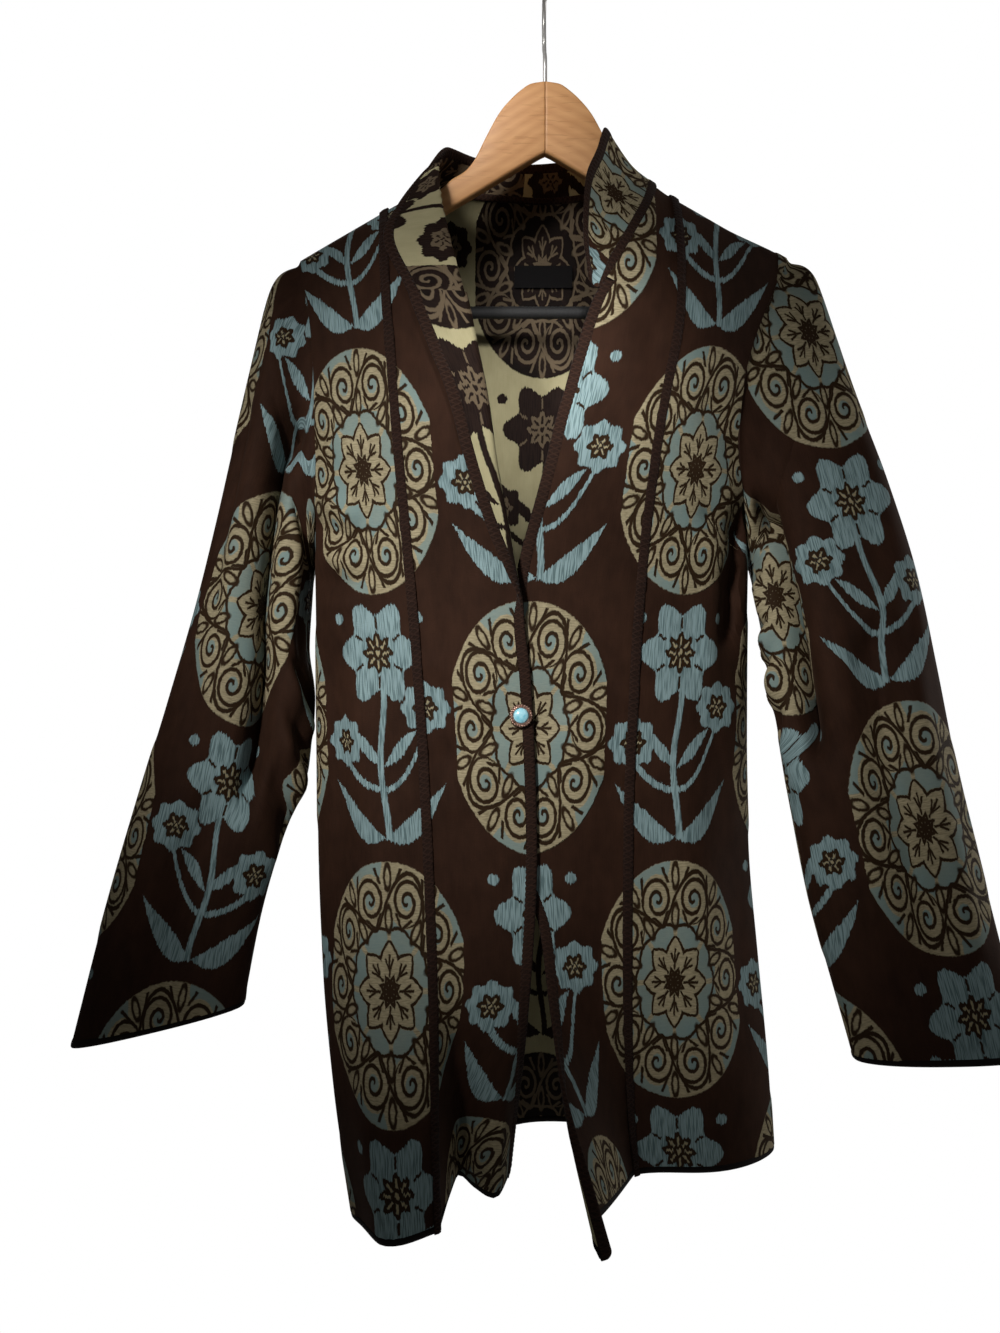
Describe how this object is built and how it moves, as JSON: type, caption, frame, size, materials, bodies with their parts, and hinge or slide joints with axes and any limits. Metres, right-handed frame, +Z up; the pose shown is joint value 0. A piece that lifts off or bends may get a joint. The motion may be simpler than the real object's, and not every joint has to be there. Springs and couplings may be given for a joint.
{
  "type": "longline blazer on a wooden clothes hanger",
  "caption": "Longline tapestry blazer with a stand collar, princess seams, bound edges and a single button, hung on a wooden hanger with a trouser bar.",
  "frame": {"origin": "inside the top of the hanger's hook, where the rail holds it", "axes": "+Z up, +X to the viewer's right (the wearer's left), +Y away from the viewer, through the back of the garment"},
  "size_m": [0.775, 0.2889, 1.038],
  "materials": {
    "cloth": "velvety tapestry, dark brown with pale blue and khaki figures",
    "binding": "matte black woven binding",
    "band": "dark brown ribbed band with cross stitches",
    "label": "matte black woven label, bare",
    "button_metal": "worn coppery metal with a beaded rim",
    "button_stone": "pale turquoise stone",
    "wood": "clear satin varnish on pale beech",
    "bar": "matte black non-slip sleeve on the bar",
    "wire": "bright steel wire"
  },
  "bodies": {
    "root": {"front_right_side": "cloth", "front_right_side_hem": "binding", "front_right_centre": "cloth", "front_right_centre_hem": "binding", "front_right_edge_band": "band", "front_right_seam_tape": "band", "front_left_side": "cloth", "front_left_side_hem": "binding", "front_left_centre": "cloth", "front_left_centre_hem": "binding", "front_left_edge_band": "band", "front_left_seam_tape": "band", "back": "cloth", "back_hem": "binding", "sleeve_right": "cloth", "sleeve_right_cuff_binding": "binding", "sleeve_left": "cloth", "sleeve_left_cuff_binding": "binding", "collar_neck_band": "band", "collar": "cloth", "collar_edge_band": "band", "neck_label": "label", "button_rim": "button_metal", "button_stone": "button_stone", "hanger_wood": "wood", "hanger_bar": "bar", "hanger_hook": "wire"}
  },
  "joints": []
}
